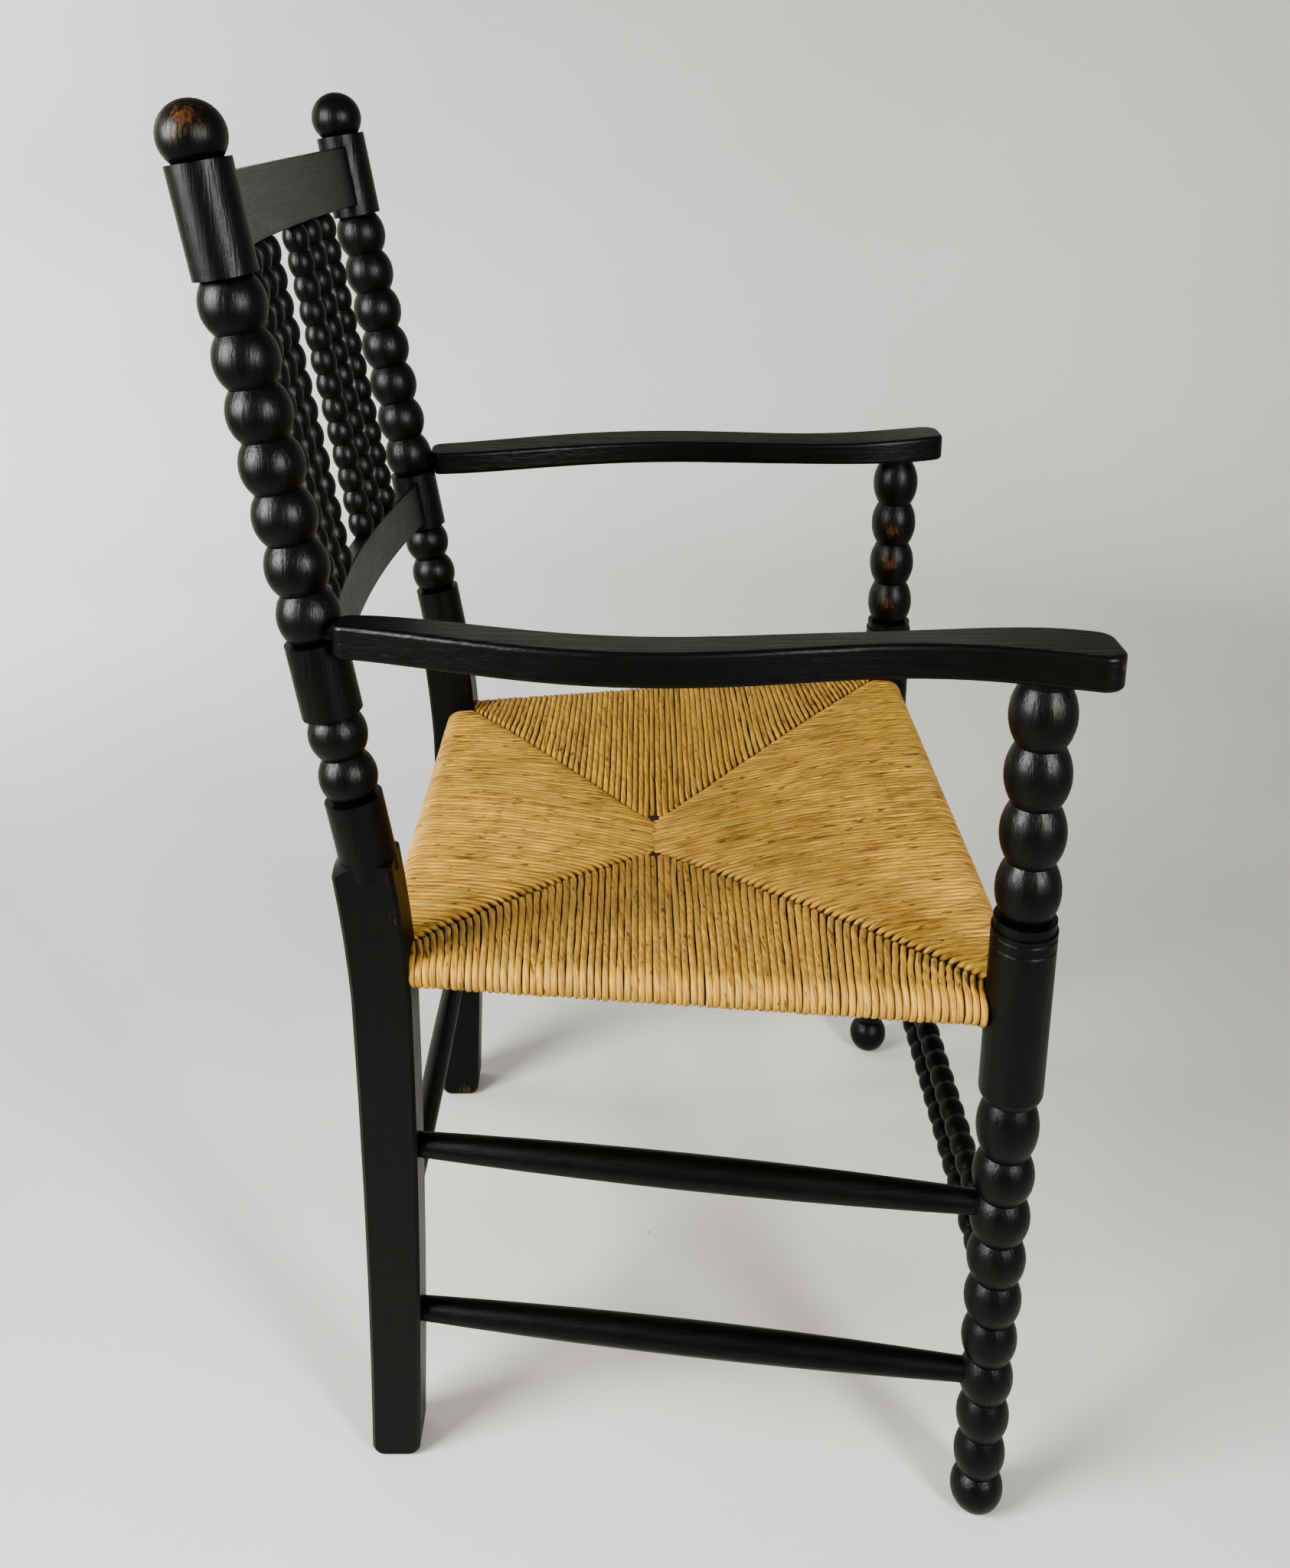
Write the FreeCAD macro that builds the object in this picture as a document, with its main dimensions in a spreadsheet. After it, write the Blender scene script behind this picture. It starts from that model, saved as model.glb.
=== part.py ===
# Rush-seat elbow chair with bobbin-turned posts, legs and spindles.
# Millimetres. X runs across the chair, the front faces -Y, Z is up.
# The origin is on the floor, in the middle of the chair's outline.
import FreeCAD, Part
import math
import os
from types import SimpleNamespace
import Sketcher
from FreeCAD import Placement, Rotation, Vector

# Driving sizes: name, value, what it measures
SIZES = [
    ("fit_gap", 0.12, "clearance round every glued tenon"),
    ("rush_gap", 0.3, "clearance between rush and wood"),
    ("front_half", 268.0, "front leg axis from the middle plane"),
    ("back_half", 209.0, "back post axis from the middle plane"),
    ("seat_run", 425.7, "front leg axis to back post axis at the square's top"),
    ("square_top", 507.0, "floor to the top of the square part of a back post"),
    ("rake", 8.8, "lean of the back, degrees"),
    ("post_square", 36.0, "width of the square part of a back post"),
    ("post_depth", 41.0, "depth of the square part at the seat"),
    ("foot_depth", 36.0, "depth of the square part at the floor"),
    ("foot_run", 432.0, "front leg axis to the middle of a back foot"),
    ("bend_run", 420.0, "front leg axis to the post's middle at the bend"),
    ("bend_height", 405.0, "floor to the bend of a back post"),
    ("bend_rise", 1.2, "depth of the curve between bend and square's top"),
    ("leg_rise", 2.2, "forward curve of a post between floor and bend"),
    ("square_behind", 2.0, "middle of the square's top behind the turned part's axis"),
    ("post_edge", 2.4, "chamfer on the corners of the square part"),
    ("foot_edge", 9.0, "rounding under a back foot"),
    ("pommel", 12.0, "height of the turned shoulder on the square's corners"),
    ("collar_radius", 19.2, "round collar above the square"),
    ("collar_length", 43.7, "length of that collar"),
    ("low_bobbin_radius", 19.3, "two bobbins under the lower rail"),
    ("low_bobbin_pitch", 30.75, "length of one of them"),
    ("post_cylinder_radius", 19.8, "plain cylinders that take the back rails"),
    ("low_cylinder_length", 50.6, "cylinder of the lower back rail"),
    ("post_bobbin_radius", 20.5, "seven bobbins between the back rails"),
    ("post_bobbin_pitch", 33.0, "length of one of them"),
    ("post_bobbin_count", 7, "bobbins between the back rails"),
    ("low_bobbin_count", 2, "bobbins under the lower rail"),
    ("crest_cylinder_length", 66.3, "cylinder of the crest rail"),
    ("finial_radius", 20.7, "ball on top of a back post"),
    ("finial_neck", 15.1, "radius of the ball's seat"),
    ("bobbin_cut", 5.8, "depth of the groove between big bobbins"),
    ("foot_flat", 8.0, "radius of the flat under a front foot"),
    ("foot_bobbin_radius", 18.8, "lowest bobbin of a front leg"),
    ("foot_bobbin_length", 34.0, "its length"),
    ("leg_bobbin_low", 18.3, "radius of the lowest of the leg's bobbins"),
    ("leg_bobbin_high", 20.8, "radius of the highest of them"),
    ("leg_bobbin_pitch", 35.0, "length of one of them"),
    ("leg_bobbin_count", 8, "bobbins between foot and shoulder bobbin"),
    ("shoulder_bobbin_length", 43.0, "tall bobbin under the leg's cylinder"),
    ("leg_cylinder_radius", 21.1, "plain cylinder at the seat"),
    ("leg_cylinder_length", 130.0, "its length"),
    ("leg_ring_radius", 20.0, "ring on top of the cylinder"),
    ("leg_ring_length", 7.0, "its length"),
    ("leg_shoulder_length", 8.3, "length of the curve from shoulder bobbin to cylinder"),
    ("leg_shoulder_rise", 1.5, "depth of that curve"),
    ("leg_line_depth", 0.8, "depth of the two turned lines"),
    ("leg_line_width", 1.8, "width of a turned line"),
    ("leg_line_step", 8.0, "distance between the turned lines"),
    ("arm_bobbin_radius", 20.8, "bobbins between seat and arm"),
    ("arm_bobbin_pitch", 39.8, "length of one of them"),
    ("arm_bobbin_count", 4, "bobbins between seat and arm"),
    ("arm_neck_length", 4.8, "plain neck under the arm"),
    ("arm_tenon_radius", 10.0, "tenon of a front leg in the arm"),
    ("arm_tenon_length", 14.0, "its length"),
    ("arm_thickness", 23.0, "thickness of an arm at its outer side"),
    ("arm_slope", 3.5, "fall of the arm's top towards the sitter, behind the leg"),
    ("arm_overhang", 41.0, "front leg axis to the tip of an arm"),
    ("arm_tip_reach", 279.0, "middle of an arm's tip from the middle plane"),
    ("arm_tip_width", 45.0, "width of the tip"),
    ("arm_palm_reach", 265.5, "middle of an arm over the leg"),
    ("arm_palm_width", 46.0, "width there"),
    ("arm_waist_run", 62.0, "leg axis to the waist of an arm"),
    ("arm_waist_reach", 257.0, "middle of an arm at its waist"),
    ("arm_waist_width", 36.5, "width there"),
    ("arm_turn_run", 145.0, "leg axis to the turn between waist and bow"),
    ("arm_turn_reach", 262.3, "middle of an arm at that turn"),
    ("arm_turn_width", 35.5, "width there"),
    ("arm_bow_run", 225.0, "leg axis to the widest bow of an arm"),
    ("arm_bow_reach", 268.0, "middle of an arm at the bow"),
    ("arm_bow_width", 38.4, "width there"),
    ("arm_swell_run", 338.0, "leg axis to the swell behind the bow"),
    ("arm_swell_reach", 248.0, "middle of an arm there"),
    ("arm_swell_width", 39.0, "width there"),
    ("arm_heel_run", 434.0, "leg axis to the back end of an arm"),
    ("arm_heel_reach", 223.0, "middle of an arm at its back end"),
    ("arm_heel_width", 29.0, "width there"),
    ("arm_heel_corner", 10.0, "rounding of the back end's corners"),
    ("arm_edge", 3.0, "rounding along an arm"),
    ("arm_tip_corner", 13.0, "rounding of the tip's corners"),
    ("arm_pin_radius", 7.5, "round tenon of an arm in the back post"),
    ("arm_pin_length", 20.0, "its length"),
    ("arm_pin_reach", 217.0, "its axis from the middle plane"),
    ("rail_thickness", 13.0, "thickness of the two back rails"),
    ("rail_bow", 19.5, "bow of the back rails at the middle"),
    ("rail_ahead", 2.0, "rail ends ahead of the post axes"),
    ("rail_depth_in_post", 15.0, "housing of a rail end in its cylinder"),
    ("crest_height", 48.0, "height of the crest rail"),
    ("crest_drop", 9.5, "crest rail under its cylinder's top"),
    ("lower_rail_height", 37.0, "height of the lower back rail"),
    ("lower_rail_drop", 6.5, "lower rail under its cylinder's top"),
    ("rail_edge", 1.5, "rounding along the back rails"),
    ("spindle_inner", 45.0, "inner spindles from the middle plane"),
    ("spindle_middle", 81.5, "middle spindles from the middle plane"),
    ("spindle_outer", 120.0, "outer spindles from the middle plane"),
    ("spindle_count", 13, "bobbins on a spindle"),
    ("spindle_radius", 10.0, "radius of a spindle's bobbins"),
    ("spindle_cut", 2.8, "depth of the groove between them"),
    ("spindle_tenon_radius", 4.5, "tenon of a spindle"),
    ("spindle_tenon_length", 12.0, "its length"),
    ("seat_front_height", 425.0, "floor to the axis of the front seat rail"),
    ("seat_back_height", 420.0, "floor to the axis of the back seat rail"),
    ("seat_rail_radius", 9.5, "radius of a seat rail"),
    ("seat_tenon_radius", 6.5, "tenon of a seat rail"),
    ("seat_front_behind", 3.0, "front seat rail behind the front legs' axes"),
    ("seat_back_ahead", 7.0, "back seat rail ahead of the back posts' middles"),
    ("tenon_stop", 10.0, "tips of tenons from the axis of leg or post"),
    ("rush_wrap", 3.5, "rush round a rail"),
    ("rush_lap", 1.0, "rim of the web inside the wrap"),
    ("post_room_gap", 1.2, "clearance between rush and a post's faces"),
    ("seat_sag", 31.0, "fall of the rush from rails to centre"),
    ("seat_belly", 14.0, "rush under the rails at the centre"),
    ("seat_ridge", 46.0, "line where front and back rush meet"),
    ("seat_ridge_run", 233.0, "front leg axis to that line"),
    ("stretcher_radius", 12.3, "middle of a plain stretcher"),
    ("stretcher_end", 8.8, "radius of its ends"),
    ("side_upper_front", 270.0, "floor to the front ends of the upper side stretchers"),
    ("side_upper_back", 275.5, "floor to their back ends"),
    ("side_lower_front", 124.0, "floor to the front ends of the lower side stretchers"),
    ("side_lower_back", 127.7, "floor to their back ends"),
    ("back_height", 198.0, "floor to the back stretcher"),
    ("back_ahead", 5.0, "back stretcher ahead of the posts' middles"),
    ("back_radius", 9.6, "middle of the back stretcher"),
    ("back_end", 7.4, "radius of its ends"),
    ("front_bobbin_radius", 9.5, "bobbins of a front stretcher"),
    ("front_bobbin_cut", 2.6, "depth of the groove between them"),
    ("front_bobbin_count", 25, "bobbins of a front stretcher"),
    ("front_tenon_radius", 6.5, "tenon of a front stretcher"),
    ("front_inset", 19.5, "leg axis to a front stretcher's first bobbin"),
    ("front_upper_place", 5, "leg bobbin at the upper front stretcher, from nought"),
    ("front_lower_place", 4, "leg bobbin at the lower front stretcher, from nought"),
]

doc = FreeCAD.newDocument("elbow_chair")
sheet = doc.addObject("Spreadsheet::Sheet", "sizes")
for row, (alias, value, note) in enumerate(SIZES, start=1):
    sheet.set("A%d" % row, note)
    sheet.set("B%d" % row, str(value))
    sheet.setAlias("B%d" % row, alias)
doc.recompute()


class Size:
    """A number in millimetres together with the sheet formula that gives it."""

    def __init__(self, value, formula):
        self.value = float(value)
        self.formula = formula

    def __add__(self, other):
        other = sized(other)
        return Size(self.value + other.value, "(%s + %s)" % (self.formula, other.formula))

    def __sub__(self, other):
        other = sized(other)
        return Size(self.value - other.value, "(%s - %s)" % (self.formula, other.formula))

    def __mul__(self, other):
        other = sized(other)
        return Size(self.value * other.value, "(%s * %s)" % (self.formula, other.formula))

    def __truediv__(self, other):
        other = sized(other)
        return Size(self.value / other.value, "(%s / %s)" % (self.formula, other.formula))

    def __neg__(self):
        return Size(-self.value, "(0 - %s)" % self.formula)

    def __radd__(self, other):
        return sized(other) + self

    def __rsub__(self, other):
        return sized(other) - self

    def __rmul__(self, other):
        return sized(other) * self


def sized(number):
    """A plain number as a Size; a Size stays as it is."""
    return number if isinstance(number, Size) else Size(number, "%.6f" % number)


def magnitude(size):
    """A Size without its sign."""
    return Size(abs(size.value), "abs(%s)" % size.formula)


def root(size):
    """Square root of a Size."""
    return Size(math.sqrt(size.value), "sqrt(%s)" % size.formula)


def smaller(first, second):
    """The smaller of two Sizes."""
    return Size(min(first.value, second.value), "min(%s; %s)" % (first.formula, second.formula))


d = SimpleNamespace(**{alias: Size(sheet.get(alias), "sizes." + alias) for alias, _, _ in SIZES})
ZERO = Size(0, "0")
rake_sine = Size(math.sin(math.radians(d.rake.value)), "sin(sizes.rake)")
rake_cosine = Size(math.cos(math.radians(d.rake.value)), "cos(sizes.rake)")

# Places that follow from the driving sizes
post_turned = (d.collar_length + d.low_bobbin_pitch * d.low_bobbin_count + d.low_cylinder_length
               + d.post_bobbin_pitch * d.post_bobbin_count + d.crest_cylinder_length)
finial_seat = root(d.finial_radius * d.finial_radius - d.finial_neck * d.finial_neck)
finial_centre = post_turned + finial_seat
back_reach = d.seat_run + finial_centre * rake_sine + d.finial_radius
front_y = (d.arm_overhang - back_reach) / 2
post_y = front_y + d.seat_run
leg_cylinder_foot = (d.foot_bobbin_length + d.leg_bobbin_pitch * d.leg_bobbin_count
                     + d.shoulder_bobbin_length)
leg_bobbins_start = leg_cylinder_foot + d.leg_cylinder_length + d.leg_ring_length
arm_underside = leg_bobbins_start + d.arm_bobbin_pitch * d.arm_bobbin_count + d.arm_neck_length
low_cylinder_foot = d.collar_length + d.low_bobbin_pitch * d.low_bobbin_count
low_cylinder_top = low_cylinder_foot + d.low_cylinder_length
crest_top = post_turned - d.crest_drop
crest_foot = crest_top - d.crest_height
lower_rail_top = low_cylinder_top - d.lower_rail_drop
lower_rail_foot = lower_rail_top - d.lower_rail_height
spindle_span = crest_foot - lower_rail_top


def bind(thing, name, size):
    """Drive one property of an object from the sheet."""
    thing.setExpression(name, sized(size).formula)


def bind_place(thing, x=None, y=None, z=None):
    """Drive the position of an object from the sheet."""
    for axis, size in (("x", x), ("y", y), ("z", z)):
        if size is not None:
            bind(thing, "Placement.Base." + axis, size)


def post_middle(height):
    """Y of the middle of a back post's square part at a height up to the seat."""
    share = height / d.bend_height
    curve = d.leg_rise * 4 * share * (1 - share)
    return front_y + d.foot_run + (d.bend_run - d.foot_run) * share - curve


def new_body(name):
    return doc.addObject("PartDesign::Body", name)


def origin_plane(body, role):
    return next(plane for plane in body.Origin.OriginFeatures if plane.Role == role)


def arc_middle(start, end, rise):
    """Point on an arc half way from start to end, rise to the right of the way."""
    way = end - start
    right = Vector(way.y, -way.x, 0).normalize()
    return (start + end) * 0.5 + right * rise


def add_outline(sketch, corners):
    """Close an outline of (across, up, rise): an edge arrives at each corner, straight or with a rise."""
    spots = [Vector(x.value, y.value, 0) for x, y, _ in corners]
    edges = []
    for index, (_, _, rise) in enumerate(corners):
        start, end = spots[index - 1], spots[index]
        if rise is None:
            edges.append(Part.LineSegment(start, end))
        else:
            edges.append(Part.Arc(start, arc_middle(start, end, rise.value), end))
    sketch.addGeometry(edges, False)
    ends = []
    for index, start in enumerate(spots[-1:] + spots[:-1]):
        turned = sketch.getPoint(index, 1).distanceToPoint(start) > 1e-4
        ends.append((2, 1) if turned else (1, 2))
    rules = []
    for index in range(len(corners)):
        following = (index + 1) % len(corners)
        rules.append(Sketcher.Constraint("Coincident", index, ends[index][1],
                                         following, ends[following][0]))
    sketch.addConstraint(rules)
    for index, corner in enumerate(corners):
        hold_corner(sketch, index, ends[index][1], corner)
        if corner[2] is not None:
            hold_radius(sketch, index, corners[index - 1], corner)


def hold_corner(sketch, edge, end, corner):
    """Tie one corner of an outline to the sheet."""
    for kind, size, axis in (("DistanceX", corner[0], -2), ("DistanceY", corner[1], -1)):
        if size.formula == "0":
            sketch.addConstraint(Sketcher.Constraint("PointOnObject", edge, end, axis))
            continue
        rule = sketch.addConstraint(Sketcher.Constraint(kind, -1, 1, edge, end, size.value))
        bind(sketch, "Constraints[%d]" % rule, size)


def hold_radius(sketch, edge, start, end):
    """Tie the radius of an outline's arc to the sheet."""
    across = end[0] - start[0]
    up = end[1] - start[1]
    rise = end[2]
    radius = ((across * across + up * up) / 4 + rise * rise) / (rise * 2)
    rule = sketch.addConstraint(Sketcher.Constraint("Radius", edge, abs(radius.value)))
    bind(sketch, "Constraints[%d]" % rule, magnitude(radius))


def sketch_on(body, name, role, corners):
    """Sketch with one closed outline on a plane of its body's origin."""
    sketch = body.newObject("Sketcher::SketchObject", name)
    sketch.AttachmentSupport = [(origin_plane(body, role), "")]
    sketch.MapMode = "FlatFace"
    add_outline(sketch, corners)
    return sketch


def revolve(body, name, corners):
    """Turn an outline of (radius, height) corners about the body's Z axis."""
    sketch = sketch_on(body, name + "_profile", "XZ_Plane", corners)
    turning = body.newObject("PartDesign::Revolution", name)
    turning.Profile = sketch
    turning.ReferenceAxis = (sketch, ["V_Axis"])
    turning.Angle = 360.0
    return turning


def string_of_bobbins(start, count, pitch, radius, cut):
    """Corners up a run of equal bobbins, with a groove of the given cut after each."""
    return [(radius - cut, start + pitch * (index + 1), cut) for index in range(int(count.value))]


def cylinder(name, radius, length, base, axis=Vector(0, 0, 1)):
    """Round bar or cutter from a point of three Sizes along an axis."""
    bar = doc.addObject("Part::Cylinder", name)
    bind(bar, "Radius", radius)
    bind(bar, "Height", length)
    bar.Placement = Placement(Vector(), Rotation(Vector(0, 0, 1), axis))
    bind_place(bar, *base)
    return bar


def cut(name, base, tools):
    """A piece with its sockets cut out."""
    tool = tools[0]
    if len(tools) > 1:
        tool = doc.addObject("Part::MultiFuse", name + "_sockets")
        tool.Shapes = tools
    piece = doc.addObject("Part::Cut", name)
    piece.Base = base
    piece.Tool = tool
    return piece


def mirror(name, source):
    """The same piece on the other side of the chair."""
    piece = doc.addObject("Part::Mirroring", name)
    piece.Source = source
    piece.Normal = Vector(1, 0, 0)
    return piece


# The leaning frame of the back: X across, Y backwards, Z up along the posts
BACK_TURN = Rotation(Vector(1, 0, 0), -d.rake.value)


def back_place(across, behind, along):
    """Chair coordinates of a place in the leaning frame of the back."""
    return (across,
            post_y + behind * rake_cosine + along * rake_sine,
            d.square_top - behind * rake_sine + along * rake_cosine)


# Middle line of the back rails in plan: an arc between two ends inside the posts
rail_half = d.back_half - d.post_cylinder_radius + d.rail_depth_in_post
rail_radius = (rail_half * rail_half + d.rail_bow * d.rail_bow) / (d.rail_bow * 2)


def rail_bow_at(across):
    """How far the back rails' middle line lies behind its ends, at a distance from the middle."""
    return root(rail_radius * rail_radius - across * across) - (rail_radius - d.rail_bow)


def bowed_board(name, foot, height, grow=ZERO):
    """Board bowed backwards in plan, standing in the frame of the back; grow makes a housing's cutter."""
    body = new_body(name)
    half_thick = d.rail_thickness / 2 + grow
    end_sine = (rail_half + grow) / rail_radius
    end_cosine = root(1 - end_sine * end_sine)
    outline = []
    for radius, way in ((rail_radius - half_thick, -1), (rail_radius + half_thick, 1)):
        across, behind = radius * end_sine, radius * end_cosine - (rail_radius - d.rail_bow)
        outline += [(across * way, behind, None), (across * -way, behind, radius * (1 - end_cosine) * way)]
    sketch = sketch_on(body, name + "_plan", "XY_Plane", outline)
    bind(sketch, "AttachmentOffset.Base.y", -d.rail_ahead)
    bind(sketch, "AttachmentOffset.Base.z", foot - grow)
    pad = body.newObject("PartDesign::Pad", name + "_height")
    pad.Profile = sketch
    bind(pad, "Length", height + grow * 2)
    if grow is ZERO:
        doc.recompute()
        edges = [edge for edge, shape in named_edges(pad) if is_long_level(shape)]
        round_edges(body, name + "_edges", pad, edges, d.rail_edge)
    body.Placement = Placement(Vector(), BACK_TURN)
    bind_place(body, ZERO, post_y, d.square_top)
    return body


def named_edges(feature):
    return [("Edge%d" % number, edge) for number, edge in enumerate(feature.Shape.Edges, start=1)]


def is_long_level(edge):
    """The four bowed edges of a back rail."""
    return edge.Length > rail_half.value


def turned_part_of_post():
    """Outline of the post above its square, from the collar to the finial."""
    low_neck = d.low_bobbin_radius - d.bobbin_cut
    neck = d.post_bobbin_radius - d.bobbin_cut
    crest_start = low_cylinder_top + d.post_bobbin_pitch * d.post_bobbin_count
    top = finial_centre + d.finial_radius
    tall = finial_seat + d.finial_radius
    chord = d.finial_neck * d.finial_neck + tall * tall
    ball_rise = d.finial_radius - root(d.finial_radius * d.finial_radius - chord / 4)
    outline = [(ZERO, -d.pommel, None), (d.collar_radius, -d.pommel, None),
               (d.collar_radius, d.collar_length, None), (low_neck, d.collar_length, None)]
    outline += string_of_bobbins(d.collar_length, d.low_bobbin_count, d.low_bobbin_pitch,
                                 d.low_bobbin_radius, d.bobbin_cut)
    outline += [(d.post_cylinder_radius, low_cylinder_foot, None),
                (d.post_cylinder_radius, low_cylinder_top, None), (neck, low_cylinder_top, None)]
    outline += string_of_bobbins(low_cylinder_top, d.post_bobbin_count, d.post_bobbin_pitch,
                                 d.post_bobbin_radius, d.bobbin_cut)
    outline += [(d.post_cylinder_radius, crest_start, None), (d.post_cylinder_radius, post_turned, None),
                (d.finial_neck, post_turned, None), (ZERO, top, ball_rise)]
    return outline


def lean_sketch(body, name, corners):
    """Sketch in the middle plane of a post, its upright axis along the lean of the back."""
    sketch = sketch_on(body, name, "YZ_Plane", corners)
    sketch.AttachmentOffset = Placement(Vector(), Rotation(Vector(0, 0, 1), -d.rake.value))
    bind(sketch, "AttachmentOffset.Base.x", post_y)
    bind(sketch, "AttachmentOffset.Base.y", d.square_top)
    return sketch


def square_part_outline():
    """Side outline of the square leg: rounded foot, a slight curve to the bend and another to the top."""
    foot_y = front_y + d.foot_run
    bend_y = front_y + d.bend_run
    top_y = post_y + d.square_behind
    half_foot, half = d.foot_depth / 2, d.post_depth / 2
    corner_rise = d.foot_edge * (1 - math.sqrt(0.5))
    return [(foot_y - half_foot + d.foot_edge, ZERO, corner_rise),
            (foot_y + half_foot - d.foot_edge, ZERO, None),
            (foot_y + half_foot, d.foot_edge, corner_rise),
            (bend_y + half, d.bend_height, -d.leg_rise),
            (top_y + half, d.square_top, -d.bend_rise),
            (top_y - half, d.square_top, None),
            (bend_y - half, d.bend_height, d.bend_rise),
            (foot_y - half_foot, d.foot_edge, d.leg_rise)]


def back_post_blank():
    """Post before its mortises: bent square leg, pommel shoulder and turned upper part."""
    body = new_body("post_blank")
    leg = body.newObject("PartDesign::Pad", "post_leg")
    leg.Profile = sketch_on(body, "post_side", "YZ_Plane", square_part_outline())
    leg.SideType = "Symmetric"
    bind(leg, "Length", d.post_square)
    doc.recompute()
    corners = body.newObject("PartDesign::Chamfer", "post_corners")
    corners.Base = (leg, [name for name, edge in named_edges(leg) if is_upright(edge)])
    bind(corners, "Size", d.post_edge)
    reach = d.post_depth
    shoulder = body.newObject("PartDesign::Groove", "post_pommel")
    shoulder.Profile = lean_sketch(body, "post_pommel_profile", [
        (d.collar_radius, ZERO, None), (reach, -d.pommel, None),
        (reach, d.pommel, None), (d.collar_radius, d.pommel, None)])
    shoulder.ReferenceAxis = (shoulder.Profile[0], ["V_Axis"])
    shoulder.Angle = 360.0
    turning = body.newObject("PartDesign::Revolution", "post_turning")
    turning.Profile = lean_sketch(body, "post_turning_profile", turned_part_of_post())
    turning.ReferenceAxis = (turning.Profile[0], ["V_Axis"])
    turning.Angle = 360.0
    bind_place(body, d.back_half)
    return body


def is_upright(edge):
    """An edge along the square leg, above its rounded foot."""
    first, last = edge.Vertexes[0].Point, edge.Vertexes[-1].Point
    return abs(first.x - last.x) < 0.01 and abs(first.z - last.z) > 2 * d.foot_edge.value


def leg_bobbin_radius(place):
    """Radius of a front leg's bobbins, which swell evenly with their place from the foot."""
    last = d.leg_bobbin_count - 1
    return d.leg_bobbin_low + (d.leg_bobbin_high - d.leg_bobbin_low) * place / last


def front_leg_outline():
    """Outline of a front leg from its flat foot to the tenon in the arm."""
    neck = leg_bobbin_radius(-0.5) - d.bobbin_cut
    outline = [(ZERO, ZERO, None), (d.foot_flat, ZERO, None),
               (neck, d.foot_bobbin_length, d.foot_bobbin_radius - (d.foot_flat + neck) / 2)]
    for index in range(int(d.leg_bobbin_count.value)):
        next_neck = leg_bobbin_radius(index + 0.5) - d.bobbin_cut
        rise = leg_bobbin_radius(index) - (neck + next_neck) / 2
        outline.append((next_neck, d.foot_bobbin_length + d.leg_bobbin_pitch * (index + 1), rise))
        neck = next_neck
    outline.append((neck, leg_cylinder_foot, d.leg_bobbin_high - neck))
    outline.append((d.leg_cylinder_radius, leg_cylinder_foot + d.leg_shoulder_length, d.leg_shoulder_rise))
    cylinder_top = leg_cylinder_foot + d.leg_cylinder_length
    upper_line = cylinder_top - d.leg_line_step / 2
    for line in (upper_line - d.leg_line_step, upper_line):
        outline += [(d.leg_cylinder_radius, line - d.leg_line_width / 2, None),
                    (d.leg_cylinder_radius - d.leg_line_depth, line, None),
                    (d.leg_cylinder_radius, line + d.leg_line_width / 2, None)]
    outline += [(d.leg_cylinder_radius, cylinder_top, None), (d.leg_ring_radius, cylinder_top, None),
                (d.leg_ring_radius, leg_bobbins_start, None)]
    neck = d.arm_bobbin_radius - d.bobbin_cut
    outline.append((neck, leg_bobbins_start, None))
    outline += string_of_bobbins(leg_bobbins_start, d.arm_bobbin_count, d.arm_bobbin_pitch,
                                 d.arm_bobbin_radius, d.bobbin_cut)
    tenon_top = arm_underside + d.arm_tenon_length
    outline += [(neck, arm_underside, None), (d.arm_tenon_radius, arm_underside, None),
                (d.arm_tenon_radius, tenon_top, None), (ZERO, tenon_top, None)]
    return outline


def front_leg_blank():
    body = new_body("leg_blank")
    revolve(body, "leg_turning", front_leg_outline())
    bind_place(body, d.front_half, front_y)
    return body


def arm_station(body, number, run, reach, width, slope):
    """Cross-section of an arm: level underside, upright sides, top level or falling towards the sitter."""
    inner, outer = reach - width / 2, reach + width / 2
    foot, top = arm_underside + d.fit_gap, arm_underside + d.arm_thickness
    sketch = sketch_on(body, "arm_section_%d" % number, "XZ_Plane", [
        (inner, foot, None), (outer, foot, None), (outer, top, None), (inner, top - slope, None)])
    bind(sketch, "AttachmentOffset.Base.z", -front_y - run)
    return sketch


def arm_blank():
    """Serpentine arm lofted forward through its stations, with rounded ends and edges."""
    body = new_body("arm_blank")
    stations = [(d.arm_heel_run, d.arm_heel_reach, d.arm_heel_width, d.arm_slope),
                (d.arm_swell_run, d.arm_swell_reach, d.arm_swell_width, d.arm_slope),
                (d.arm_bow_run, d.arm_bow_reach, d.arm_bow_width, d.arm_slope),
                (d.arm_turn_run, d.arm_turn_reach, d.arm_turn_width, d.arm_slope),
                (d.arm_waist_run, d.arm_waist_reach, d.arm_waist_width, d.arm_slope),
                (ZERO, d.arm_palm_reach, d.arm_palm_width, d.arm_slope / 4),
                (-d.arm_overhang, d.arm_tip_reach, d.arm_tip_width, ZERO)]
    sections = [arm_station(body, number, *station) for number, station in enumerate(stations, start=1)]
    loft = body.newObject("PartDesign::AdditiveLoft", "arm_loft")
    loft.Profile = sections[0]
    loft.Sections = sections[1:]
    rounded = loft
    slant = magnitude(d.arm_tip_reach - d.arm_palm_reach) / d.arm_overhang
    tip_wall = d.arm_overhang / 2 * (root(slant * slant + 1) - slant)
    for name, run, radius in (("arm_tip", -d.arm_overhang, smaller(d.arm_tip_corner, tip_wall)),
                              ("arm_heel", d.arm_heel_run, d.arm_heel_corner)):
        doc.recompute()
        end = front_y + run
        corners = [edge for edge, shape in named_edges(rounded) if is_corner_at(shape, end.value)]
        rounded = round_edges(body, name, rounded, corners, radius)
    doc.recompute()
    rims = [edge for edge, shape in named_edges(rounded) if not is_plumb(shape)]
    round_edges(body, "arm_edges", rounded, rims, d.arm_edge)
    return body


def round_edges(body, name, base, edges, radius):
    rounding = body.newObject("PartDesign::Fillet", name)
    rounding.Base = (base, edges)
    bind(rounding, "Radius", radius)
    return rounding


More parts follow.
